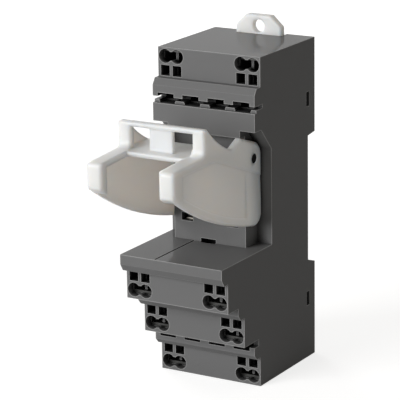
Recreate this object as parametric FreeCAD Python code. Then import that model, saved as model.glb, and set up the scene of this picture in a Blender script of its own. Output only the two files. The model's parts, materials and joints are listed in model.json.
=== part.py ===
import FreeCAD, Part
import math
import os

# Plug-in relay socket with push-in wire terminals, in millimetres.
# X runs across the socket, the front looks along -Y and Z points up.
# The origin is the middle of the foot that the socket stands on.
# "Depth" is always measured forwards from the back plane of the body.

# Body, built up from the foot: three terminal tiers, the relay seat and the upper block
WIDTH = 31.0
TIER_3_FACE = 31.2
TIER_STEP = 8.45
UPPER_FACE = 30.2
SEAT_HEIGHT = 32.5
BAND_HEIGHT = 5.0
SIDE_WALL = 0.7
END_WALL = 0.75
FRONT_WALL = 2.4
CENTRE_WEB = 2.0
INNER_WALL = 0.6

# Cornices over the terminal faces
CORNICE_REACH = 3.1
CORNICE_RISE = 1.35
CORNICE_LIP = 2.2
CORNICE_SETBACK = 1.2
LEDGE_RISE = 1.95
LEDGE_LIP = 2.7
UPPER_CORNICE_RISE = 1.75
UPPER_CORNICE_LIP = 3.0

# Bar grooves, their notches and ribs
GROOVE_HEIGHT = 1.8
GROOVE_DEPTH = 4.3
LOWER_GROOVE_DEPTH = 7.65
NOTCH_WIDTH = 5.0
NOTCH_PITCH = 7.66
NOTCH_RISE = 1.0
NOTCH_DEPTH = 8.0
RIB_WIDTH = 3.0
RIB_HEIGHT = 0.8
RIB_SETBACK = 0.9

# Relay seat
NECK_WIDTH = 22.0
NECK_SETBACK = 2.7
NECK_BROW = 2.0
NECK_WALL = 1.6
WING_SETBACK = 8.9
WING_THICKNESS = 1.8
WING_SLOPE_RISE = 6.1
WING_SLOPE_REACH = 5.5
SLIT_X = -4.95
SLIT_WIDTH = 0.6
SLIT_DEPTH = 2.0
SLIT_END = 0.4
FOOT_POCKET_LEFT = -2.8
FOOT_POCKET_WIDTH = 4.6
FOOT_POCKET_REACH = 0.8
FOOT_POCKET_RISE = 0.95
FOOT_POCKET_SINK = 1.6
FOOT_POCKET_DEPTH = 4.0

# Rail recess in the back
RAIL_DEPTH = 3.9
RAIL_BOTTOM = 28.2
RAIL_WINDOW = 35.2
LOWER_LAND_FALL = 1.3
UPPER_LAND_RISE = 0.5

# Wire entries and release holes
COLUMN_INSET = 4.0
FACE_BELOW_WIRE = 2.55
FACE_ABOVE_WIRE = 5.6
UPPER_WIRE_DROP = 2.35
WIRE_PITCH = 3.6
WIRE_RADIUS = 1.92
WAIST_HEIGHT = 2.44
RELEASE_WIDTH = 2.7
RELEASE_START = 2.45
RELEASE_END = 5.35

# Terminal chambers
CHAMBER_WIDTH = 6.6
CHAMBER_FLOOR = 1.65
CHAMBER_ROOF = 6.1
DIVIDER = 0.7
DIVIDER_START = 0.9
DIVIDER_LENGTH = 8.0

# Busbars, one bent strip for each terminal
BAR_THICKNESS = 0.8
BAR_CLEARANCE = 0.1
BAR_BEND = 1.5
TONGUE_WIDTH = 6.4
RISER_WIDTH = 3.2
RISER_SHIFT = 0.3
LAYER_SETBACK = 2.6
LAYER_STEP = 2.0
TAPER = 2.0

# Clamp springs, two in each terminal
SPRING_WIDTH = 2.5
SPRING_THICKNESS = 0.3
LOOP_RADIUS = 0.95
LOOP_BACK = 4.2
FIXED_LEG = 7.0
CLAMP_REACH = 5.4
TIP_GAP = 0.05

# Contact clips for the relay blades, four rows of two
ROW_DROP = 8.9
NEAR_PITCH = 4.4
MIDDLE_PITCH = 6.4
FAR_PITCH = 6.5
CLIP_X = 7.0
CLIP_WIDTH = 3.0
CLIP_THICKNESS = 0.35
CLIP_HALF_HEIGHT = 1.5
CLIP_MOUTH = 0.8
CLIP_PINCH = 0.3
PINCH_BACK = 2.4
CLIP_SETBACK = 0.4
STAKE_WIDTH = 1.2
STAKE_HEAD_WIDTH = 1.9
STAKE_HEAD = 0.35
HEAD_HALF = 1.8
BLADE_SLOT_WIDTH = 3.6
BLADE_SLOT_HEIGHT = 2.2

# Rear cover and its four snap lugs
COVER_FRONT = 5.5
COVER_CLEARANCE = 0.1
LUG_BACK = 3.0
LUG_FRONT = 4.8
UPPER_LUG_BOTTOM = 71.6
LOWER_LUG_BOTTOM = 15.1
LUG_HEIGHT = 4.0
LUG_CLEARANCE = 0.15
LUG_SINK = 0.2
COVER_RIB = 1.2

# Mounting hooks: the upper one is pulled out and the lower one is pushed in
HOOK_WIDTH = 13.8
HOOK_BACK = 1.2
HOOK_THICKNESS = 2.1
HOOK_TOP_FLAT = 7.4
HOOK_CORNER = 3.0
HOOK_HOLE_RADIUS = 1.8
HOOK_HOLE_DROP = 3.1
HOOK_CLAW = 3.2
HOOK_CLAW_REBATE = 0.5
HOOK_WINDOW_WIDTH = 6.0
HOOK_WINDOW_LENGTH = 11.0
HOOK_WINDOW_DROP = 9.0
HOOK_CLEARANCE = 0.1
HOOK_LIP = 1.4
UPPER_HOOK_OUT = 5.2
UPPER_TIP_GAP = 2.3
LOWER_HOOK_IN = 0.1
LOWER_TIP_GAP = 0.2

# Release lever, drawn from its pivot, its back edge and its front
RELAY_ROOM = 36.5
LEVER_WIDTH = 26.0
LEVER_GAP = 1.0
CHEEK_THICKNESS = 1.8
PIVOT_DROP = 8.05
PIVOT_INSET = 3.85
PIVOT_RADIUS = 1.3
PIVOT_CLEARANCE = 0.08
PIVOT_SINK = 0.1
HEEL_DROP = 19.2
HEEL_ROUND = 3.3
CHEEK_BOW = 2.7
PRONG_WIDTH = 4.5
PRONG_THICKNESS = 2.8
PRONG_DROP = 1.55
PRONG_RISE = 5.2
PRONG_CORNER = 1.0
FLANGE_RISE = 6.1
FLANGE_THICKNESS = 1.4
FLANGE_FILLET = 1.5
BRIDGE_SETBACK = 15.2
BRIDGE_THICKNESS = 1.8
BRIDGE_RISE = 12.95
BRIDGE_RAIL = 1.2
WINDOW_INNER = 3.45
WINDOW_OUTER = 9.2
PANEL_SETBACK = 0.25
PANEL_THICKNESS = 1.0
SHELF_RISE = 5.85
SHELF_THICKNESS = 1.2
SHELF_FORWARD = 3.1
SHELF_BACKWARD = 11.2
SCOOP_SAG = 0.8
VALLEY_RUN = 15.2
VALLEY_RISE = 4.75
VALLEY_ROUND = 2.0
EAR_REACH = 6.7
EAR_RISE = 6.8
EAR_BACK_RISE = 3.35
EAR_BACK_ROUND = 4.0
EDGE_BEVEL = 0.5
POST_ROUND = 0.8
RIM_ROUND = 0.4

# Shallow panel in the outer face of each lever cheek
SIDE_PANEL_SINK = 0.4
SIDE_PANEL_INSET = 4.3
SIDE_PANEL_TOP = 1.6
SIDE_PANEL_PEAK = 4.0
SIDE_PANEL_FALL = 5.7
SIDE_PANEL_END = 8.0
SIDE_PANEL_RIM = 3.9
SIDE_PANEL_DROP = 0.35
SIDE_PANEL_BOW = 1.44
SIDE_PANEL_FADE = 2.75
SIDE_PANEL_FADE_HEIGHT = 9.7
EDGE_TOLERANCE = 0.001

# Values worked out from the sizes above
TIER_2_FACE = TIER_3_FACE + TIER_STEP
TIER_1_FACE = TIER_2_FACE + TIER_STEP
TIER_3_WIRE = FACE_BELOW_WIRE
LOWER_GROOVE_BOTTOM = TIER_3_WIRE + FACE_ABOVE_WIRE + CORNICE_RISE + CORNICE_LIP
LOWER_GROOVE_TOP = LOWER_GROOVE_BOTTOM + GROOVE_HEIGHT
TIER_2_WIRE = LOWER_GROOVE_TOP + FACE_BELOW_WIRE
TIER_2_TOP = TIER_2_WIRE + FACE_ABOVE_WIRE + CORNICE_RISE + CORNICE_LIP
TIER_1_WIRE = TIER_2_TOP + FACE_BELOW_WIRE
LEDGE_TOP = TIER_1_WIRE + FACE_ABOVE_WIRE + LEDGE_RISE + LEDGE_LIP
BLOCK_BOTTOM = LEDGE_TOP + SEAT_HEIGHT
UPPER_GROOVE_BOTTOM = BLOCK_BOTTOM + BAND_HEIGHT
UPPER_GROOVE_TOP = UPPER_GROOVE_BOTTOM + GROOVE_HEIGHT
UPPER_FACE_BOTTOM = UPPER_GROOVE_TOP + UPPER_CORNICE_LIP + UPPER_CORNICE_RISE
UPPER_WIRE = UPPER_FACE_BOTTOM + FACE_ABOVE_WIRE
HEIGHT = UPPER_WIRE + UPPER_WIRE_DROP
BACK_Y = TIER_3_FACE / 2
HALF_WIDTH = WIDTH / 2
INSIDE = HALF_WIDTH - SIDE_WALL
COLUMN_X = HALF_WIDTH - COLUMN_INSET
BAND_FACE = UPPER_FACE + CORNICE_REACH
LEDGE_FACE = TIER_1_FACE + CORNICE_REACH
NECK_FACE = BAND_FACE - NECK_SETBACK
NECK_TOP = BLOCK_BOTTOM - NECK_BROW
HALF_NECK = NECK_WIDTH / 2
WING_WALL = BAND_FACE - WING_SETBACK
WING_TOP = BLOCK_BOTTOM - WING_SLOPE_RISE
FRAME_DEPTH = WING_WALL - WING_THICKNESS
GROOVE_WALL = BAND_FACE - GROOVE_DEPTH
LOWER_GROOVE_WALL = TIER_2_FACE - LOWER_GROOVE_DEPTH
RAIL_TOP = RAIL_BOTTOM + RAIL_WINDOW
TONGUE_GAP = CHAMBER_FLOOR - BAR_CLEARANCE
FRONT_LAYER = FRAME_DEPTH - LAYER_SETBACK
MIDDLE_LAYER = FRONT_LAYER - LAYER_STEP
BACK_LAYER = MIDDLE_LAYER - LAYER_STEP
ROW_1 = BLOCK_BOTTOM - ROW_DROP
ROW_2 = ROW_1 - NEAR_PITCH
ROW_3 = ROW_2 - MIDDLE_PITCH
ROW_4 = ROW_3 - FAR_PITCH
CLIP_FRONT = NECK_FACE - NECK_WALL - CLIP_SETBACK
HOOK_FRONT = HOOK_BACK + HOOK_THICKNESS
HALF_LEVER = LEVER_WIDTH / 2
CHEEK_INSIDE = HALF_LEVER - CHEEK_THICKNESS
PRONG_INSIDE = HALF_LEVER - PRONG_WIDTH
LEVER_BACK = WING_WALL + LEVER_GAP
LEVER_FRONT = NECK_FACE + RELAY_ROOM + PRONG_THICKNESS
PIVOT_DEPTH = LEVER_BACK + PIVOT_INSET
PIVOT_HEIGHT = BLOCK_BOTTOM - PIVOT_DROP
HEEL = PIVOT_HEIGHT - HEEL_DROP
PRONG_BOTTOM = PIVOT_HEIGHT - PRONG_DROP
PRONG_TOP = PIVOT_HEIGHT + PRONG_RISE
FLANGE_TOP = PIVOT_HEIGHT + FLANGE_RISE
BRIDGE_FRONT = LEVER_FRONT - BRIDGE_SETBACK
BRIDGE_BACK = BRIDGE_FRONT - BRIDGE_THICKNESS
BRIDGE_TOP = PIVOT_HEIGHT + BRIDGE_RISE
SHELF_TOP = PIVOT_HEIGHT + SHELF_RISE

# name, face depth, wire height, side of the release holes, bar layer, contact row
TIERS = (
    ("upper", UPPER_FACE, UPPER_WIRE, -1, BACK_LAYER, ROW_1),
    ("first", TIER_1_FACE, TIER_1_WIRE, 1, FRONT_LAYER, ROW_4),
    ("second", TIER_2_FACE, TIER_2_WIRE, 1, MIDDLE_LAYER, ROW_3),
    ("third", TIER_3_FACE, TIER_3_WIRE, 1, BACK_LAYER, ROW_2),
)
SIDES = (("left", -1), ("right", 1))


def point(x, depth, z):
    return FreeCAD.Vector(x, BACK_Y - depth, z)


def box(x_span, depth_span, z_span):
    corner = point(min(x_span), max(depth_span), min(z_span))
    sizes = [abs(span[1] - span[0]) for span in (x_span, depth_span, z_span)]
    return Part.makeBox(*sizes, corner)


def side_prism(outline, x0, x1):
    # A closed outline of (depth, z) points, extruded across the socket
    points = [point(x0, depth, z) for depth, z in outline]
    face = Part.Face(Part.makePolygon(points + [points[0]]))
    return face.extrude(FreeCAD.Vector(x1 - x0, 0, 0))


def front_prism(outline, depth0, depth1):
    # A closed outline of (x, z) points, extruded from front to back
    points = [point(x, depth0, z) for x, z in outline]
    face = Part.Face(Part.makePolygon(points + [points[0]]))
    return face.extrude(FreeCAD.Vector(0, depth0 - depth1, 0))


def rod_across(x0, x1, depth, z, radius):
    return Part.makeCylinder(radius, x1 - x0, point(x0, depth, z), FreeCAD.Vector(1, 0, 0))


def rod_forwards(x, depth0, depth1, z, radius):
    return Part.makeCylinder(radius, depth1 - depth0, point(x, depth0, z), FreeCAD.Vector(0, -1, 0))


def path_face(steps, x):
    # Steps are (depth, z) points; a step of two points is an arc through the first to the second
    edges = []
    here = point(x, *steps[0])
    for step in steps[1:]:
        if isinstance(step[0], tuple):
            middle = point(x, *step[0])
            there = point(x, *step[1])
            edges.append(Part.Arc(here, middle, there).toShape())
        else:
            there = point(x, *step)
            edges.append(Part.LineSegment(here, there).toShape())
        here = there
    return Part.Face(Part.Wire(edges))


def on_side(shape, side):
    # Pieces are drawn for the +X side and mirrored for the other one
    if side > 0:
        return shape
    return shape.mirror(FreeCAD.Vector(0, 0, 0), FreeCAD.Vector(1, 0, 0))


def both_sides(shape):
    return [shape, on_side(shape, -1)]


def body_outline():
    outline = [
        (0, 0),
        (0, RAIL_BOTTOM - LOWER_LAND_FALL),
        (RAIL_DEPTH, RAIL_BOTTOM),
        (RAIL_DEPTH, RAIL_TOP),
        (0, RAIL_TOP + UPPER_LAND_RISE),
        (0, HEIGHT),
        (UPPER_FACE, HEIGHT),
        (UPPER_FACE, UPPER_FACE_BOTTOM),
        (BAND_FACE - CORNICE_SETBACK, UPPER_FACE_BOTTOM),
        (BAND_FACE, UPPER_GROOVE_TOP + UPPER_CORNICE_LIP),
        (BAND_FACE, UPPER_GROOVE_TOP),
        (GROOVE_WALL, UPPER_GROOVE_TOP),
        (GROOVE_WALL, UPPER_GROOVE_BOTTOM),
        (BAND_FACE, UPPER_GROOVE_BOTTOM),
        (BAND_FACE, BLOCK_BOTTOM),
        (WING_WALL + WING_SLOPE_REACH, BLOCK_BOTTOM),
        (WING_WALL, WING_TOP),
        (WING_WALL, LEDGE_TOP),
    ]
    outline += cornice(TIER_1_FACE, TIER_1_WIRE, LEDGE_TOP, LEDGE_LIP)
    outline += cornice(TIER_2_FACE, TIER_2_WIRE, TIER_2_TOP, CORNICE_LIP)
    outline += [
        (LOWER_GROOVE_WALL, LOWER_GROOVE_TOP),
        (LOWER_GROOVE_WALL, LOWER_GROOVE_BOTTOM),
    ]
    outline += cornice(TIER_3_FACE, TIER_3_WIRE, LOWER_GROOVE_BOTTOM, CORNICE_LIP)
    return outline


def cornice(face, wire, top, lip):
    # The overhang above a terminal face, and the face itself
    front = face + CORNICE_REACH
    underside = wire + FACE_ABOVE_WIRE
    return [
        (front, top),
        (front, top - lip),
        (front - CORNICE_SETBACK, underside),
        (face, underside),
        (face, wire - FACE_BELOW_WIRE),
    ]


def neck():
    seat = box((-HALF_NECK, HALF_NECK), (WING_WALL - 1, NECK_FACE), (LEDGE_TOP - 1, BLOCK_BOTTOM + 1))
    band = box((-HALF_NECK, HALF_NECK), (NECK_FACE - 1, BAND_FACE), (NECK_TOP, BLOCK_BOTTOM + 1))
    return [seat, band]


def pivot_bosses():
    boss = rod_across(HALF_NECK - NECK_WALL / 2, HALF_LEVER - PIVOT_SINK,
                      PIVOT_DEPTH, PIVOT_HEIGHT, PIVOT_RADIUS)
    return both_sides(boss)


def groove_ribs():
    ribs = []
    for place in range(-2, 3):
        centre = place * NOTCH_PITCH
        left = max(centre - RIB_WIDTH / 2, -HALF_WIDTH)
        right = min(centre + RIB_WIDTH / 2, HALF_WIDTH)
        ribs.append(box((left, right), (GROOVE_WALL - 0.5, BAND_FACE - RIB_SETBACK),
                        (UPPER_GROOVE_BOTTOM - 0.5, UPPER_GROOVE_BOTTOM + RIB_HEIGHT)))
    return ribs


def groove_notches():
    notches = []
    for place in (-1.5, -0.5, 0.5, 1.5):
        centre = place * NOTCH_PITCH
        span = (centre - NOTCH_WIDTH / 2, centre + NOTCH_WIDTH / 2)
        notches.append(box(span, (BAND_FACE - NOTCH_DEPTH, BAND_FACE + 1),
                           (UPPER_GROOVE_BOTTOM + RIB_HEIGHT / 2, UPPER_GROOVE_TOP + NOTCH_RISE)))
        face = TIER_3_FACE + CORNICE_REACH
        notches.append(box(span, (face - NOTCH_DEPTH, face + 1),
                           (LOWER_GROOVE_BOTTOM - NOTCH_RISE, LOWER_GROOVE_TOP - RIB_HEIGHT)))
    return notches


def chamber_heights(wire, toward):
    ends = (wire - toward * CHAMBER_FLOOR, wire + toward * CHAMBER_ROOF)
    return min(ends), max(ends)


def terminal_chamber(face, wire, toward):
    # The room of one terminal, open to the frame behind it, with a rib between its two wire ways
    half = CHAMBER_WIDTH / 2
    low, high = chamber_heights(wire, toward)
    room = box((COLUMN_X - half, COLUMN_X + half), (FRAME_DEPTH - 1, face - FRONT_WALL), (low, high))
    rib_ends = (wire - toward * (TONGUE_GAP - BAR_THICKNESS - BAR_CLEARANCE),
                wire + toward * (CHAMBER_ROOF + 1))
    rib_front = face - FRONT_WALL - DIVIDER_START
    rib_back = max(rib_front - DIVIDER_LENGTH, FRAME_DEPTH)
    rib = box((COLUMN_X - DIVIDER / 2, COLUMN_X + DIVIDER / 2), (rib_back, rib_front), rib_ends)
    return room.cut(rib)


def core_room(face, wire, toward):
    # The moulded-out room between the terminal chamber and the centre web
    low, high = chamber_heights(wire, toward)
    outer = COLUMN_X - CHAMBER_WIDTH / 2 - INNER_WALL
    return box((CENTRE_WEB / 2, outer), (FRAME_DEPTH - 1, face - FRONT_WALL), (low, high))


def terminal_entries(face, wire, toward):
    # Two round wire entries joined by a waist, and two square release holes beside them
    cuts = []
    back = face - FRONT_WALL
    for step in (-0.5, 0.5):
        centre = COLUMN_X + step * WIRE_PITCH
        cuts.append(rod_forwards(centre, back, face + 0.5, wire, WIRE_RADIUS))
        ends = (wire + toward * RELEASE_START, wire + toward * RELEASE_END)
        cuts.append(box((centre - RELEASE_WIDTH / 2, centre + RELEASE_WIDTH / 2), (back, face + 0.5), ends))
    cuts.append(box((COLUMN_X - WIRE_PITCH / 2, COLUMN_X + WIRE_PITCH / 2), (back, face + 0.5),
                    (wire - WAIST_HEIGHT / 2, wire + WAIST_HEIGHT / 2)))
    return cuts


def rear_frame():
    # The room for the busbars, open at the back where the rear cover goes in
    heights = (END_WALL, HEIGHT - END_WALL)
    cuts = [box((-INSIDE, INSIDE), (-1, COVER_FRONT + COVER_CLEARANCE), heights)]
    bay = box((CENTRE_WEB / 2, INSIDE), (0, FRAME_DEPTH), heights)
    cuts += both_sides(bay)
    contact_room = box((CENTRE_WEB / 2, HALF_NECK - NECK_WALL),
                       (FRAME_DEPTH - 1, NECK_FACE - NECK_WALL),
                       (LEDGE_TOP + NECK_WALL, NECK_TOP - NECK_WALL))
    cuts += both_sides(contact_room)
    return cuts


def blade_slots():
    slots = []
    for row in (ROW_1, ROW_2, ROW_3, ROW_4):
        slot = box((CLIP_X - BLADE_SLOT_WIDTH / 2, CLIP_X + BLADE_SLOT_WIDTH / 2),
                   (NECK_FACE - NECK_WALL - 1, NECK_FACE + 1),
                   (row - BLADE_SLOT_HEIGHT / 2, row + BLADE_SLOT_HEIGHT / 2))
        slots += both_sides(slot)
    return slots


def seat_marks():
    # The key slit along the ledge and the pocket at the foot of the neck
    slit = box((SLIT_X - SLIT_WIDTH / 2, SLIT_X + SLIT_WIDTH / 2),
               (NECK_FACE, LEDGE_FACE - SLIT_END), (LEDGE_TOP - SLIT_DEPTH, LEDGE_TOP + 1))
    pocket = box((FOOT_POCKET_LEFT, FOOT_POCKET_LEFT + FOOT_POCKET_WIDTH),
                 (NECK_FACE - FOOT_POCKET_DEPTH, NECK_FACE + FOOT_POCKET_REACH),
                 (LEDGE_TOP - FOOT_POCKET_SINK, LEDGE_TOP + FOOT_POCKET_RISE))
    return [slit, pocket]


def lug_windows():
    windows = []
    for bottom in (UPPER_LUG_BOTTOM, LOWER_LUG_BOTTOM):
        window = box((INSIDE - 0.5, HALF_WIDTH + 0.5), (LUG_BACK, LUG_FRONT), (bottom, bottom + LUG_HEIGHT))
        windows += both_sides(window)
    return windows


def hook_gates():
    # Where the two mounting hooks pass through the end walls
    half = HOOK_WIDTH / 2 + HOOK_CLEARANCE
    depths = (-1, HOOK_FRONT + HOOK_CLEARANCE)
    return [
        box((-half, half), depths, (HEIGHT - END_WALL - 1, HEIGHT + 1)),
        box((-half, half), depths, (-1, END_WALL + 1)),
    ]


def housing():
    solid = side_prism(body_outline(), -HALF_WIDTH, HALF_WIDTH)
    solid = solid.fuse(neck() + groove_ribs())
    cuts = groove_notches() + rear_frame() + blade_slots() + seat_marks() + lug_windows() + hook_gates()
    for _, face, wire, toward, _, _ in TIERS:
        rooms = [terminal_chamber(face, wire, toward), core_room(face, wire, toward)]
        for room in rooms + terminal_entries(face, wire, toward):
            cuts += both_sides(room)
    solid = solid.cut(cuts)
    solid = solid.fuse(pivot_bosses())
    return solid.removeSplitter()


def rear_cover():
    half = INSIDE - COVER_CLEARANCE
    bottom = END_WALL + COVER_CLEARANCE
    top = HEIGHT - END_WALL - COVER_CLEARANCE
    outline = [
        (0, bottom),
        (0, RAIL_BOTTOM - LOWER_LAND_FALL),
        (RAIL_DEPTH, RAIL_BOTTOM),
        (RAIL_DEPTH, RAIL_TOP),
        (0, RAIL_TOP + UPPER_LAND_RISE),
        (0, top),
        (COVER_FRONT, top),
        (COVER_FRONT, bottom),
    ]
    solid = side_prism(outline, -half, half)
    lugs = []
    for low in (UPPER_LUG_BOTTOM, LOWER_LUG_BOTTOM):
        lug = box((half - 0.5, HALF_WIDTH - LUG_SINK),
                  (LUG_BACK + LUG_CLEARANCE, LUG_FRONT - LUG_CLEARANCE),
                  (low + LUG_CLEARANCE, low + LUG_HEIGHT - LUG_CLEARANCE))
        lugs += both_sides(lug)
    solid = solid.fuse(lugs + cover_ribs())
    return solid.cut(hook_channels(bottom, top)).removeSplitter()


def cover_ribs():
    # Ribs that reach forwards to the backs of the busbars and hold them in their chambers
    ribs = []
    centre = COLUMN_X - RISER_SHIFT
    for _, _, wire, toward, layer, row in (TIERS[0], TIERS[3]):
        reach = layer - BAR_THICKNESS - BAR_CLEARANCE
        ends = (wire + toward * CHAMBER_ROOF, row - toward * HEAD_HALF * 2)
        rib = box((centre - COVER_RIB / 2, centre + COVER_RIB / 2), (COVER_FRONT - 0.5, reach), ends)
        ribs += both_sides(rib)
    return ribs


def hook_channels(bottom, top):
    # Each hook slides in a channel that is open along the back between two lips
    half = HOOK_WIDTH / 2 + HOOK_CLEARANCE
    depths = (HOOK_BACK - HOOK_CLEARANCE, HOOK_FRONT + HOOK_CLEARANCE)
    lip_half = HOOK_WIDTH / 2 - HOOK_LIP
    cuts = []
    for span in ((bottom - 1, RAIL_BOTTOM + 1), (RAIL_TOP - 1, top + 1)):
        cuts.append(box((-half, half), depths, span))
        cuts.append(box((-lip_half, lip_half), (-1, HOOK_BACK), span))
    return cuts


def mounting_hook(outer_end, tip):
    # A flat slide: eight-sided tab with a screw hole at one end, rail claw at the other
    half = HOOK_WIDTH / 2
    flat = HOOK_TOP_FLAT / 2
    direction = 1 if outer_end > tip else -1
    shoulder = outer_end - direction * HOOK_CORNER
    outline = [
        (flat, outer_end),
        (half, shoulder),
        (half, tip),
        (-half, tip),
        (-half, shoulder),
        (-flat, outer_end),
    ]
    solid = front_prism(outline, HOOK_BACK, HOOK_FRONT)
    hole_z = outer_end - direction * HOOK_HOLE_DROP
    hole = rod_forwards(0, HOOK_BACK - 1, HOOK_FRONT + 1, hole_z, HOOK_HOLE_RADIUS)
    window_start = outer_end - direction * HOOK_WINDOW_DROP
    window_end = window_start - direction * HOOK_WINDOW_LENGTH
    window = box((-HOOK_WINDOW_WIDTH / 2, HOOK_WINDOW_WIDTH / 2), (HOOK_BACK - 1, HOOK_FRONT + 1),
                 (window_start, window_end))
    rebate = box((-half - 1, half + 1), (HOOK_FRONT - HOOK_CLAW_REBATE, HOOK_FRONT + 1),
                 (tip - direction, tip + direction * HOOK_CLAW))
    return solid.cut([hole, window, rebate])


def bar_inner_face(wire, toward):
    # Height of the busbar face that the wire is pressed on
    return wire - toward * (TONGUE_GAP - BAR_THICKNESS)


def busbar(face, wire, toward, layer, row):
    # A tongue under the wires, bent into a riser that carries the contact clip
    outside = wire - toward * TONGUE_GAP
    inside = bar_inner_face(wire, toward)
    head = row + toward * HEAD_HALF
    front = face - FRONT_WALL - BAR_CLEARANCE
    back = layer - BAR_THICKNESS
    outer_bend = BAR_BEND
    inner_bend = BAR_BEND - BAR_THICKNESS
    slant = math.sqrt(0.5)
    outer_mid = (back + outer_bend * (1 - slant), outside + toward * outer_bend * (1 - slant))
    inner_mid = (layer + inner_bend * (1 - slant), inside + toward * inner_bend * (1 - slant))
    profile = [
        (front, outside),
        (back + outer_bend, outside),
        (outer_mid, (back, outside + toward * outer_bend)),
        (back, head),
        (layer, head),
        (layer, inside + toward * inner_bend),
        (inner_mid, (layer + inner_bend, inside)),
        (front, inside),
        (front, outside),
    ]
    strip = path_face(profile, 0).extrude(FreeCAD.Vector(HALF_WIDTH, 0, 0))
    tongue_in = COLUMN_X - TONGUE_WIDTH / 2
    tongue_out = COLUMN_X + TONGUE_WIDTH / 2
    riser_in = COLUMN_X - RISER_SHIFT - RISER_WIDTH / 2
    riser_out = riser_in + RISER_WIDTH
    shoulder = outside + toward * (BAR_BEND + TAPER)
    neck_z = shoulder + toward * TAPER
    jog = riser_in - (CLIP_X - HEAD_HALF)
    blank = [
        (tongue_in, outside - toward),
        (tongue_out, outside - toward),
        (tongue_out, shoulder),
        (riser_out, neck_z),
        (riser_out, row - toward * HEAD_HALF),
        (CLIP_X + HEAD_HALF, head + toward),
        (CLIP_X - HEAD_HALF, head + toward),
        (CLIP_X - HEAD_HALF, row - toward * HEAD_HALF),
        (riser_in, row - toward * (HEAD_HALF + jog)),
        (riser_in, neck_z),
        (tongue_in, shoulder),
    ]
    bar = strip.common(front_prism(blank, back - 1, front + 1))
    return bar.cut(stake(back - 1, layer + 1, row, STAKE_WIDTH + BAR_CLEARANCE))


def stake(depth0, depth1, row, width):
    # A square tab on the clip's middle line
    half = width / 2
    return box((CLIP_X - half, CLIP_X + half), (depth0, depth1), (row - half, row + half))


def contact_clip(layer, row):
    # Two sprung leaves that grip the relay blade, with a tab staked over behind the busbar
    thick = CLIP_THICKNESS
    pinch = CLIP_FRONT - PINCH_BACK
    upper_leaf = [
        (layer, CLIP_HALF_HEIGHT),
        (layer + thick, CLIP_HALF_HEIGHT),
        (pinch, CLIP_PINCH + thick),
        (CLIP_FRONT, CLIP_MOUTH + thick),
        (CLIP_FRONT, CLIP_MOUTH),
        (pinch, CLIP_PINCH),
        (layer + thick, CLIP_HALF_HEIGHT - thick),
    ]
    lower_leaf = [(depth, -height) for depth, height in reversed(upper_leaf)]
    outline = [(depth, row + height) for depth, height in upper_leaf + lower_leaf]
    clip = side_prism(outline, CLIP_X - CLIP_WIDTH / 2, CLIP_X + CLIP_WIDTH / 2)
    back = layer - BAR_THICKNESS
    shank = stake(back, layer + thick / 2, row, STAKE_WIDTH)
    head = stake(back - STAKE_HEAD, back, row, STAKE_HEAD_WIDTH)
    return clip.fuse([shank, head]).removeSplitter()


def clamp_spring(face, wire, toward, centre):
    # A leaf bent into a loop: one leg lies on the chamber wall, the other presses the wire
    top = CHAMBER_ROOF - BAR_CLEARANCE
    thick = SPRING_THICKNESS
    loop_u = FRONT_WALL + LOOP_BACK - LOOP_RADIUS
    loop_v = top - LOOP_RADIUS
    inner = LOOP_RADIUS - thick
    tip_u = loop_u + CLAMP_REACH
    tip_v = BAR_THICKNESS - TONGUE_GAP + TIP_GAP
    run = tip_u - loop_u
    fall = loop_v - LOOP_RADIUS - tip_v
    length = math.hypot(run, fall)
    steps = [
        (loop_u + FIXED_LEG, top),
        (loop_u, top),
        ((loop_u - LOOP_RADIUS, loop_v), (loop_u, loop_v - LOOP_RADIUS)),
        (tip_u, tip_v),
        (tip_u + thick * fall / length, tip_v + thick * run / length),
        (loop_u, loop_v - inner),
        ((loop_u - inner, loop_v), (loop_u, loop_v + inner)),
        (loop_u + FIXED_LEG, top - thick),
        (loop_u + FIXED_LEG, top),
    ]

    def placed(pair):
        return face - pair[0], wire + toward * pair[1]

    moved = []
    for step in steps:
        if isinstance(step[0], tuple):
            moved.append((placed(step[0]), placed(step[1])))
        else:
            moved.append(placed(step))
    leaf = path_face(moved, centre - SPRING_WIDTH / 2)
    return leaf.extrude(FreeCAD.Vector(SPRING_WIDTH, 0, 0))


def bowed(start, end, sag):
    # An arc in path_face's form that stands off the straight line by sag, on its right
    run = (end[0] - start[0], end[1] - start[1])
    length = math.hypot(*run)
    middle = (start[0] + run[0] / 2 + sag * run[1] / length, start[1] + run[1] / 2 - sag * run[0] / length)
    return middle, end


def edges_across(shape, corner):
    # The edges that run along X through a (depth, z) corner
    found = []
    for edge in shape.Edges:
        bounds = edge.BoundBox
        straight = bounds.YLength < EDGE_TOLERANCE and bounds.ZLength < EDGE_TOLERANCE
        miss = math.hypot(BACK_Y - bounds.YMax - corner[0], bounds.ZMax - corner[1])
        if straight and miss < EDGE_TOLERANCE:
            found.append(edge)
    return found


def bevelled(block):
    # The rim of the outer face, as a ruled loft to the same outline set in by the bevel
    outer = [face for face in block.Faces if abs(face.CenterOfMass.x - HALF_LEVER) < EDGE_TOLERANCE]
    rim = outer[0].OuterWire
    base = rim.translated(FreeCAD.Vector(-EDGE_BEVEL, 0, 0))
    loft = Part.makeLoft([base, rim.makeOffset2D(-EDGE_BEVEL)], True, True)
    waste = box((HALF_LEVER - EDGE_BEVEL, HALF_LEVER), (0, LEVER_FRONT + 1), (0, HEIGHT))
    return block.cut(waste).fuse(loft).removeSplitter()


def upright_round(inside, front, z_span):
    # What a rounding takes off an upright front edge that faces the middle
    x = inside + POST_ROUND
    depth = front - POST_ROUND
    corner = box((inside - 1, x), (depth, front + 1), z_span)
    rod = Part.makeCylinder(POST_ROUND, z_span[1] - z_span[0], point(x, depth, z_span[0]))
    return corner.cut(rod)


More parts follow.
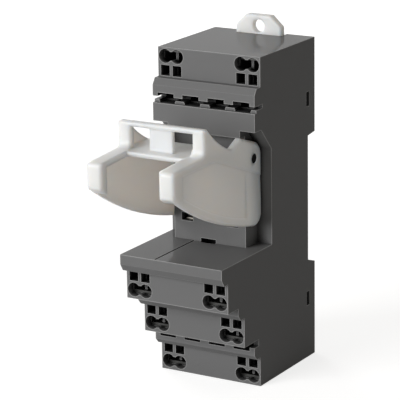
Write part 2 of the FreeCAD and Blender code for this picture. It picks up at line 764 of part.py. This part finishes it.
def lever_side_block():
    # One side view gives the cheek, the lip before the relay, the flange and the bridge post
    heel = (LEVER_BACK, HEEL)
    lip_bottom = (LEVER_FRONT, PRONG_BOTTOM)
    lip_top = (LEVER_FRONT, PRONG_TOP)
    post_foot = (BRIDGE_FRONT, FLANGE_TOP)
    post_back = (BRIDGE_BACK, BRIDGE_TOP)
    valley = (LEVER_BACK + VALLEY_RUN, PIVOT_HEIGHT + VALLEY_RISE)
    ear_top = (PIVOT_DEPTH + EAR_REACH, PIVOT_HEIGHT + EAR_RISE)
    ear_back = (LEVER_BACK, PIVOT_HEIGHT + EAR_BACK_RISE)
    outline = [
        heel,
        bowed(heel, lip_bottom, CHEEK_BOW),
        lip_top,
        post_foot,
        (BRIDGE_FRONT, BRIDGE_TOP),
        post_back,
        bowed(post_back, valley, -SCOOP_SAG),
        ear_top,
        ear_back,
        heel,
    ]
    block = path_face(outline, PRONG_INSIDE).extrude(FreeCAD.Vector(PRONG_WIDTH, 0, 0))
    rounds = (
        (heel, HEEL_ROUND),
        (lip_bottom, PRONG_CORNER),
        (lip_top, PRONG_CORNER),
        (post_foot, FLANGE_FILLET),
        (valley, VALLEY_ROUND),
        (ear_back, EAR_BACK_ROUND),
    )
    for corner, radius in rounds:
        block = block.makeFillet(radius, edges_across(block, corner))
    return bevelled(block)


def lever_side():
    # The block hollowed to the cheek's wall, the lip and the flange
    lip_back = LEVER_FRONT - PRONG_THICKNESS
    hollow = side_prism([
        (0, 0),
        (lip_back, 0),
        (lip_back, PRONG_TOP - FLANGE_THICKNESS),
        (BRIDGE_BACK, FLANGE_TOP - FLANGE_THICKNESS),
        (BRIDGE_BACK, HEIGHT),
        (0, HEIGHT),
    ], 0, CHEEK_INSIDE)
    hole = rod_across(CHEEK_INSIDE - 1, HALF_LEVER + 1,
                      PIVOT_DEPTH, PIVOT_HEIGHT, PIVOT_RADIUS + PIVOT_CLEARANCE)
    lip_edge = upright_round(PRONG_INSIDE, LEVER_FRONT, (HEEL, PRONG_TOP + 1))
    return lever_side_block().cut([hollow, hole, side_panel(), lip_edge])


def bridge():
    # The crossbar over the windows and the shelf at their foot
    half = CHEEK_INSIDE + CHEEK_THICKNESS / 2
    shelf_bottom = SHELF_TOP - SHELF_THICKNESS
    wall = box((-half, half), (BRIDGE_BACK, BRIDGE_FRONT), (shelf_bottom, BRIDGE_TOP))
    shelf = box((-half, half), (BRIDGE_FRONT - SHELF_BACKWARD, BRIDGE_FRONT + SHELF_FORWARD),
                (shelf_bottom, SHELF_TOP))
    return wall.fuse(shelf)


def bridge_opening():
    # Both windows in one, with the posts' rounded edges
    rail_bottom = BRIDGE_TOP - BRIDGE_RAIL
    opening = box((-WINDOW_OUTER, WINDOW_OUTER), (BRIDGE_BACK - 1, BRIDGE_FRONT + FLANGE_FILLET),
                  (SHELF_TOP, rail_bottom))
    post_edge = upright_round(WINDOW_OUTER, BRIDGE_FRONT, (FLANGE_TOP + FLANGE_FILLET, rail_bottom))
    return [opening] + both_sides(post_edge)


def bridge_rim():
    # What a rounding takes off the bridge's upper front edge
    reach = HALF_LEVER - EDGE_BEVEL
    depth = BRIDGE_FRONT - RIM_ROUND
    z = BRIDGE_TOP - RIM_ROUND
    corner = box((-reach, reach), (depth, BRIDGE_FRONT + 1), (z, BRIDGE_TOP + 1))
    return corner.cut(rod_across(-reach, reach, depth, z, RIM_ROUND))


def middle_panel():
    # The thinner panel between the two windows
    front = BRIDGE_FRONT - PANEL_SETBACK
    return box((-WINDOW_INNER, WINDOW_INNER), (front - PANEL_THICKNESS, front),
               (SHELF_TOP - SHELF_THICKNESS, BRIDGE_TOP - RIM_ROUND))


def side_panel():
    # The shallow panel in a cheek's outer face, which runs out towards the back
    top_front = (LEVER_FRONT - SIDE_PANEL_INSET, PRONG_TOP - SIDE_PANEL_TOP)
    peak = (BRIDGE_BACK - SIDE_PANEL_PEAK, top_front[1])
    back_top = (LEVER_BACK - 1, PIVOT_HEIGHT - SIDE_PANEL_FALL)
    back_bottom = (LEVER_BACK - 1, HEEL + SIDE_PANEL_RIM)
    corner = (LEVER_BACK + SIDE_PANEL_END, HEEL + SIDE_PANEL_RIM)
    bottom_front = (LEVER_FRONT - SIDE_PANEL_INSET, PRONG_BOTTOM - SIDE_PANEL_DROP)
    steps = [
        top_front,
        peak,
        back_top,
        back_bottom,
        corner,
        bowed(corner, bottom_front, SIDE_PANEL_BOW),
        top_front,
    ]
    region = path_face(steps, CHEEK_INSIDE).extrude(FreeCAD.Vector(CHEEK_THICKNESS + 1, 0, 0))
    floor = HALF_LEVER - SIDE_PANEL_SINK
    front_part = box((floor, HALF_LEVER + 1), (corner[0], LEVER_FRONT), (HEEL, BRIDGE_TOP))
    fade_top = PIVOT_HEIGHT - SIDE_PANEL_FADE
    fade = [
        (HALF_LEVER, fade_top - SIDE_PANEL_FADE_HEIGHT),
        (floor, fade_top),
        (floor, BRIDGE_TOP),
        (HALF_LEVER + 1, BRIDGE_TOP),
        (HALF_LEVER + 1, fade_top - SIDE_PANEL_FADE_HEIGHT),
    ]
    back_part = front_prism(fade, LEVER_BACK - 1, corner[0])
    return region.common(front_part.fuse(back_part))


def release_lever():
    solid = bridge().fuse(both_sides(lever_side()))
    solid = solid.cut(bridge_opening() + [bridge_rim()])
    return solid.fuse(middle_panel()).removeSplitter()


def write(name, shape):
    solids = shape.Solids
    if len(solids) != 1:
        raise ValueError(name + " is not one solid: " + str(len(solids)))
    solids[0].exportStep(os.path.join("parts", name + ".step"))


def main():
    os.makedirs("parts", exist_ok=True)
    write("housing", housing())
    write("rear_cover", rear_cover())
    write("release_lever", release_lever())
    write("upper_mounting_hook", mounting_hook(HEIGHT + UPPER_HOOK_OUT, RAIL_TOP + UPPER_TIP_GAP))
    write("lower_mounting_hook", mounting_hook(LOWER_HOOK_IN, RAIL_BOTTOM - LOWER_TIP_GAP))
    for tier, face, wire, toward, layer, row in TIERS:
        for side_name, side in SIDES:
            label = tier + "_" + side_name
            write("busbar_" + label, on_side(busbar(face, wire, toward, layer, row), side))
            write("contact_clip_" + label, on_side(contact_clip(layer, row), side))
            for way, step in (("inner", -0.5), ("outer", 0.5)):
                spring = clamp_spring(face, wire, toward, COLUMN_X + step * WIRE_PITCH)
                write("clamp_spring_" + label + "_" + way, on_side(spring, side))


main()
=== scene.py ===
import json
import math

import bpy
from mathutils import Matrix, Vector


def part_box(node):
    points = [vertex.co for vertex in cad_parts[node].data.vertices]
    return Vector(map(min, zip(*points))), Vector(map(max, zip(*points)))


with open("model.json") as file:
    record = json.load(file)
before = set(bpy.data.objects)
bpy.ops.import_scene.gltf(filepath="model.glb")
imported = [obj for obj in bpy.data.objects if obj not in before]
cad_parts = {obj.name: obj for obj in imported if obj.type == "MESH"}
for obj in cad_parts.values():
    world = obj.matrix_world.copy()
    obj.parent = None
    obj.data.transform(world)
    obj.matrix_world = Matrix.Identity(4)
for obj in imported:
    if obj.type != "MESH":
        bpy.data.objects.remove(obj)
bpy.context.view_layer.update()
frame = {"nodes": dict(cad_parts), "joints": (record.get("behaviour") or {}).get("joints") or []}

MM = 0.001

# The photograph's camera, in millimetres and degrees
CAMERA_PLACE = (290.96, -506.78, 208.09)
CAMERA_AZIMUTH = 30.865
CAMERA_ELEVATION = 15.478
CAMERA_ROLL = -0.857
LENS = 200.3
SENSOR = 36.0
VIEW_NEAR = 10.0
VIEW_FAR = 20000.0

# Edge softening on the moulded pieces, in millimetres and degrees
HOUSING_EDGE = 0.16
LEVER_EDGE = 0.22
HOOK_EDGE = 0.2
COVER_EDGE = 0.2
EDGE_SEGMENTS = 2
EDGE_ANGLE = 32.0
WELD_DISTANCE = 0.0005

# Light, in metres and watts
LIGHT_AIM = (0, 0, 0.045)
KEY_PLACE = (-0.55, -1.2, 0.42)
KEY_POWER = 15.0
KEY_SIZE = 0.95
BACK_PLACE = (-1.1, 0.75, 0.4)
BACK_POWER = 5.0
BACK_SIZE = 0.7
WORLD_LEVEL = 0.26
WORLD_TINT = (1.0, 0.97, 0.91)

# Floor, in metres: its glow to the eye is low near the object, where the lamps light it
FLOOR_SIZE = 4.0
FLOOR_COLOUR = (0.6, 0.6, 0.6)
FLOOR_ROUGHNESS = 0.9
NEAR_GLOW = 0.74
FAR_GLOW = 1.0
GLOW_SPAN = (0.12, 0.9)

# All materials: colours are linear red, green and blue, and lengths are in metres
SHADING_SAMPLES = 8
# Span of the painted edge highlight
HIGHLIGHT_SPAN = (0.5, 0.97)
GRAIN_DETAIL = 3.0

# Grain of a face: noise scale, bump strength and bump depth
HOUSING_GRAIN = (5000, 0.12, 0.00003)
MILKY_GRAIN = (3500, 0.08, 0.00003)
METAL_GRAIN = (2500, 0.1, 0.00002)

# Dark plastic of the housing and the rear cover
HOUSING_COLOUR = (0.175, 0.176, 0.178)
COVER_COLOUR = (0.17, 0.171, 0.173)
HOUSING_ROUGHNESS = 0.35
HOUSING_SPECULAR = 0.005
# Painted highlight along the housing's outer edges
HOUSING_HIGHLIGHT_REACH = 0.00026
HOUSING_HIGHLIGHT_COLOUR = (0.42, 0.42, 0.42)
UPWARD_COAT = 0.34
UPWARD_SPAN = (0.2, 0.95)
COAT_ROUGHNESS = 0.04

# Painted shade in deep places, and on the lugs and pivot pins that sit in holes
DEEP_REACH = 0.01
DEEP_RANGE = (0.18, 0.5)
DEEP_SHADE = 0.1
LUG_REACH = 0.0003
PIVOT_SPAN = (0.0014, 0.0016)
RECESS_SHADE = 0.05

# Milky plastic of the lever and the two hooks
LEVER_COLOUR = (0.86, 0.846, 0.822)
LEVER_ROUGHNESS = 0.36
HOOK_ROUGHNESS = 0.45
# Painted highlight along the outer edges of the lever and hooks
LEVER_HIGHLIGHT_COLOUR = (0.96, 0.96, 0.96)
LEVER_HIGHLIGHT_REACH = 0.0012
LEVER_ROUNDING = 0.0012
LEVER_MILKINESS = 0.75
LEVER_DEPTH_COLOUR = (1.0, 0.8, 0.65)
LEVER_DEPTH = 0.006

# Metals of the busbars, contact clips and clamp springs: the busbars' tin and the springs' steel are
# painted far darker than the real metals, as painted shade for the deep chambers they sit in
SHADED_TIN_COLOUR = (0.07, 0.07, 0.068)
TIN_ROUGHNESS = 0.45
BRASS_COLOUR = (0.55, 0.52, 0.46)
BRASS_ROUGHNESS = 0.35
SHADED_STEEL_COLOUR = (0.045, 0.045, 0.045)
STEEL_ROUGHNESS = 0.45


def new_material(name):
    material = bpy.data.materials.new(name)
    material.use_nodes = True
    nodes = material.node_tree.nodes
    return material, nodes, material.node_tree.links, nodes["Principled BSDF"]


def add_node(nodes, kind, **values):
    node = nodes.new(kind)
    for key, value in values.items():
        setattr(node, key, value)
    return node


def grain_bump(nodes, links, shader, place, grain):
    # The fine grain of a moulded or rolled face
    scale, strength, depth = grain
    noise = add_node(nodes, "ShaderNodeTexNoise")
    noise.inputs["Scale"].default_value = scale
    noise.inputs["Detail"].default_value = GRAIN_DETAIL
    bump = add_node(nodes, "ShaderNodeBump")
    bump.inputs["Strength"].default_value = strength
    bump.inputs["Distance"].default_value = depth
    links.new(place.outputs["Object"], noise.inputs["Vector"])
    links.new(noise.outputs["Fac"], bump.inputs["Height"])
    links.new(bump.outputs["Normal"], shader.inputs["Normal"])
    return bump


def from_to(nodes, links, value, span, low, high):
    # Low where the value is under the span, high where it is over it
    blend = add_node(nodes, "ShaderNodeMapRange")
    blend.inputs["From Min"].default_value = span[0]
    blend.inputs["From Max"].default_value = span[1]
    blend.inputs["To Min"].default_value = low
    blend.inputs["To Max"].default_value = high
    links.new(value, blend.inputs["Value"])
    return blend.outputs["Result"]


def scaled(nodes, links, colour, factor):
    tone = add_node(nodes, "ShaderNodeVectorMath", operation="SCALE")
    links.new(colour, tone.inputs["Vector"])
    links.new(factor, tone.inputs["Scale"])
    return tone.outputs["Vector"]


def painted_edge_highlight(nodes, links, reach, edge, face):
    # Painted highlight: the faces keep one colour, and a lighter colour is painted along the outer
    # edges within the reach, where rounded edges catch light
    within = add_node(nodes, "ShaderNodeAmbientOcclusion", samples=SHADING_SAMPLES, inside=True)
    within.inputs["Distance"].default_value = reach
    ramp = add_node(nodes, "ShaderNodeValToRGB")
    at_edge, on_face = ramp.color_ramp.elements
    at_edge.position, on_face.position = HIGHLIGHT_SPAN
    at_edge.color = (*edge, 1)
    on_face.color = (*face, 1)
    links.new(within.outputs["AO"], ramp.inputs["Fac"])
    return ramp.outputs["Color"]


def deep_shade(nodes, links, colour):
    # Painted shade: chambers, slots and pockets are painted darker than the open faces, from ambient
    # occlusion
    cover = add_node(nodes, "ShaderNodeAmbientOcclusion", samples=SHADING_SAMPLES)
    cover.inputs["Distance"].default_value = DEEP_REACH
    shade = from_to(nodes, links, cover.outputs["AO"], DEEP_RANGE, DEEP_SHADE, 1.0)
    return scaled(nodes, links, colour, shade)


def window_shade(nodes, links, place, colour):
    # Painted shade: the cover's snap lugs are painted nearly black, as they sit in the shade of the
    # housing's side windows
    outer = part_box("rear_cover")[1][0]
    split = add_node(nodes, "ShaderNodeSeparateXYZ")
    links.new(place.outputs["Object"], split.inputs["Vector"])
    sideways = add_node(nodes, "ShaderNodeMath", operation="ABSOLUTE")
    links.new(split.outputs["X"], sideways.inputs[0])
    span = (outer - LUG_REACH, outer)
    shade = from_to(nodes, links, sideways.outputs["Value"], span, 1.0, RECESS_SHADE)
    return scaled(nodes, links, colour, shade)


def pivot_shade(nodes, links, place, colour):
    # Painted shade: the pivot pins are painted nearly black, as they sit in the shade of the lever's
    # two round holes
    hinge = next(joint for joint in frame["joints"] if joint["name"] == "lever_hinge")
    flat = add_node(nodes, "ShaderNodeVectorMath", operation="MULTIPLY")
    flat.inputs[1].default_value = (0, 1, 1)
    links.new(place.outputs["Object"], flat.inputs[0])
    away = add_node(nodes, "ShaderNodeVectorMath", operation="DISTANCE")
    away.inputs[1].default_value = hinge["pos_m"]
    links.new(flat.outputs["Vector"], away.inputs[0])
    shade = from_to(nodes, links, away.outputs["Value"], PIVOT_SPAN, RECESS_SHADE, 1.0)
    return scaled(nodes, links, colour, shade)


def housing_plastic(name, colour, recess_shade):
    # Satin faces all round, polished where the moulding looks up
    material, nodes, links, shader = new_material(name)
    place = add_node(nodes, "ShaderNodeTexCoord")
    grain_bump(nodes, links, shader, place, HOUSING_GRAIN)
    # Painted highlight along the outer edges, then painted shade in deep places and on the parts
    # that sit in holes
    tone = painted_edge_highlight(nodes, links, HOUSING_HIGHLIGHT_REACH, HOUSING_HIGHLIGHT_COLOUR, colour)
    tone = deep_shade(nodes, links, tone)
    tone = recess_shade(nodes, links, place, tone)
    links.new(tone, shader.inputs["Base Color"])
    shader.inputs["Roughness"].default_value = HOUSING_ROUGHNESS
    shader.inputs["Specular IOR Level"].default_value = HOUSING_SPECULAR
    shader.inputs["Coat Roughness"].default_value = COAT_ROUGHNESS
    split = add_node(nodes, "ShaderNodeSeparateXYZ")
    links.new(place.outputs["Normal"], split.inputs["Vector"])
    coat = from_to(nodes, links, split.outputs["Z"], UPWARD_SPAN, 0.0, UPWARD_COAT)
    links.new(coat, shader.inputs["Coat Weight"])
    return material


def milky_plastic(name, roughness):
    # Light goes some way into the wall, the edges are rounded in shading, and a paler painted
    # highlight runs along them
    material, nodes, links, shader = new_material(name)
    # Painted highlight along the outer edges
    tone = painted_edge_highlight(nodes, links, LEVER_HIGHLIGHT_REACH, LEVER_HIGHLIGHT_COLOUR, LEVER_COLOUR)
    links.new(tone, shader.inputs["Base Color"])
    shader.inputs["Roughness"].default_value = roughness
    shader.inputs["Subsurface Weight"].default_value = LEVER_MILKINESS
    shader.inputs["Subsurface Radius"].default_value = LEVER_DEPTH_COLOUR
    shader.inputs["Subsurface Scale"].default_value = LEVER_DEPTH
    place = add_node(nodes, "ShaderNodeTexCoord")
    bump = grain_bump(nodes, links, shader, place, MILKY_GRAIN)
    round_off = add_node(nodes, "ShaderNodeBevel", samples=SHADING_SAMPLES)
    round_off.inputs["Radius"].default_value = LEVER_ROUNDING
    links.new(round_off.outputs["Normal"], bump.inputs["Normal"])
    return material


def metal(name, colour, roughness):
    material, nodes, links, shader = new_material(name)
    shader.inputs["Base Color"].default_value = (*colour, 1)
    shader.inputs["Metallic"].default_value = 1.0
    shader.inputs["Roughness"].default_value = roughness
    place = add_node(nodes, "ShaderNodeTexCoord")
    grain_bump(nodes, links, shader, place, METAL_GRAIN)
    return material


def dress(obj, material):
    obj.data.materials.clear()
    obj.data.materials.append(material)


def soften(obj, width):
    # Rounds the moulded edges by modifiers alone, so the mesh stays as it came
    weld = obj.modifiers.new("weld", "WELD")
    weld.merge_threshold = WELD_DISTANCE * MM
    bevel = obj.modifiers.new("edge", "BEVEL")
    bevel.width = width * MM
    bevel.segments = EDGE_SEGMENTS
    bevel.limit_method = "ANGLE"
    bevel.angle_limit = math.radians(EDGE_ANGLE)
    bevel.use_clamp_overlap = True
    bevel.harden_normals = True


def dress_nodes():
    housing_finish = housing_plastic("housing_plastic", HOUSING_COLOUR, pivot_shade)
    cover_finish = housing_plastic("cover_plastic", COVER_COLOUR, window_shade)
    lever_finish = milky_plastic("lever_plastic", LEVER_ROUGHNESS)
    hook_finish = milky_plastic("hook_plastic", HOOK_ROUGHNESS)
    # The busbars and springs get metals painted dark, as painted shade for their chambers
    tin = metal("busbar_metal", SHADED_TIN_COLOUR, TIN_ROUGHNESS)
    brass = metal("contact_metal", BRASS_COLOUR, BRASS_ROUGHNESS)
    steel = metal("spring_steel", SHADED_STEEL_COLOUR, STEEL_ROUGHNESS)
    for name, node in frame["nodes"].items():
        if name == "housing":
            dress(node, housing_finish)
            soften(node, HOUSING_EDGE)
        elif name == "rear_cover":
            dress(node, cover_finish)
            soften(node, COVER_EDGE)
        elif name == "release_lever":
            dress(node, lever_finish)
            soften(node, LEVER_EDGE)
        elif name.endswith("mounting_hook"):
            dress(node, hook_finish)
            soften(node, HOOK_EDGE)
        elif name.startswith("busbar"):
            dress(node, tin)
        elif name.startswith("contact_clip"):
            dress(node, brass)
        else:
            dress(node, steel)


def white_to_the_eye(nodes, links):
    # One for rays from the camera, mirrors and glass, and nothing for the rays that light the object
    path = add_node(nodes, "ShaderNodeLightPath")
    seen = add_node(nodes, "ShaderNodeMath", operation="MAXIMUM")
    both = add_node(nodes, "ShaderNodeMath", operation="MAXIMUM")
    links.new(path.outputs["Is Camera Ray"], seen.inputs[0])
    links.new(path.outputs["Is Glossy Ray"], seen.inputs[1])
    links.new(seen.outputs["Value"], both.inputs[0])
    links.new(path.outputs["Is Transmission Ray"], both.inputs[1])
    return both.outputs["Value"]


def white_world():
    # A dim, slightly warm room for the object, plain white for the eye
    world = bpy.data.worlds.new("studio")
    bpy.context.scene.world = world
    world.use_nodes = True
    nodes = world.node_tree.nodes
    links = world.node_tree.links
    room = nodes["Background"]
    room.inputs["Color"].default_value = (*WORLD_TINT, 1)
    room.inputs["Strength"].default_value = WORLD_LEVEL
    white = add_node(nodes, "ShaderNodeBackground")
    white.inputs["Color"].default_value = (1, 1, 1, 1)
    white.inputs["Strength"].default_value = 1.0
    mix = add_node(nodes, "ShaderNodeMixShader")
    links.new(white_to_the_eye(nodes, links), mix.inputs["Fac"])
    links.new(room.outputs["Background"], mix.inputs[1])
    links.new(white.outputs["Background"], mix.inputs[2])
    links.new(mix.outputs["Shader"], nodes["World Output"].inputs["Surface"])


def floor_paint():
    # A glow that only the eye sees is added to the lit floor, so it's white and keeps the shadow
    material, nodes, links, shader = new_material("floor_pale")
    shader.inputs["Base Color"].default_value = (*FLOOR_COLOUR, 1)
    shader.inputs["Roughness"].default_value = FLOOR_ROUGHNESS
    shader.inputs["Specular IOR Level"].default_value = 0.0
    place = add_node(nodes, "ShaderNodeTexCoord")
    away = add_node(nodes, "ShaderNodeVectorMath", operation="LENGTH")
    links.new(place.outputs["Object"], away.inputs[0])
    glow_level = from_to(nodes, links, away.outputs["Value"], GLOW_SPAN, NEAR_GLOW, FAR_GLOW)
    level = add_node(nodes, "ShaderNodeMath", operation="MULTIPLY")
    links.new(white_to_the_eye(nodes, links), level.inputs[0])
    links.new(glow_level, level.inputs[1])
    glow = add_node(nodes, "ShaderNodeEmission")
    links.new(level.outputs["Value"], glow.inputs["Strength"])
    total = add_node(nodes, "ShaderNodeAddShader")
    links.new(shader.outputs["BSDF"], total.inputs[0])
    links.new(glow.outputs["Emission"], total.inputs[1])
    links.new(total.outputs["Shader"], nodes["Material Output"].inputs["Surface"])
    return material


def pale_floor():
    bpy.ops.mesh.primitive_plane_add(size=FLOOR_SIZE, location=(0, 0, 0))
    floor = bpy.context.object
    floor.name = "floor"
    floor.data.materials.append(floor_paint())


def area_light(name, place, size, power):
    light = bpy.data.lights.new(name, "AREA")
    light.shape = "DISK"
    light.size = size
    light.energy = power
    lamp = bpy.data.objects.new(name, light)
    bpy.context.scene.collection.objects.link(lamp)
    lamp.location = place
    direction = Vector(LIGHT_AIM) - Vector(place)
    lamp.rotation_euler = direction.to_track_quat("-Z", "Y").to_euler()


def studio_light():
    area_light("key", KEY_PLACE, KEY_SIZE, KEY_POWER)
    area_light("back", BACK_PLACE, BACK_SIZE, BACK_POWER)


def photo_camera():
    azimuth = math.radians(CAMERA_AZIMUTH)
    elevation = math.radians(CAMERA_ELEVATION)
    roll = math.radians(CAMERA_ROLL)
    forward = Vector((-math.sin(azimuth) * math.cos(elevation),
                      math.cos(azimuth) * math.cos(elevation),
                      -math.sin(elevation)))
    level_right = forward.cross(Vector((0, 0, 1))).normalized()
    level_up = level_right.cross(forward)
    right = math.cos(roll) * level_right + math.sin(roll) * level_up
    up = math.cos(roll) * level_up - math.sin(roll) * level_right
    camera = bpy.data.cameras.new("photo_camera")
    camera.lens = LENS
    camera.sensor_width = SENSOR
    camera.clip_start = VIEW_NEAR * MM
    camera.clip_end = VIEW_FAR * MM
    holder = bpy.data.objects.new("photo_camera", camera)
    bpy.context.scene.collection.objects.link(holder)
    turn = Matrix((right, up, -forward)).transposed().to_4x4()
    holder.matrix_world = Matrix.Translation(Vector(CAMERA_PLACE) * MM) @ turn
    bpy.context.scene.camera = holder


bpy.context.scene.view_settings.view_transform = "Standard"
dress_nodes()
white_world()
pale_floor()
studio_light()
photo_camera()
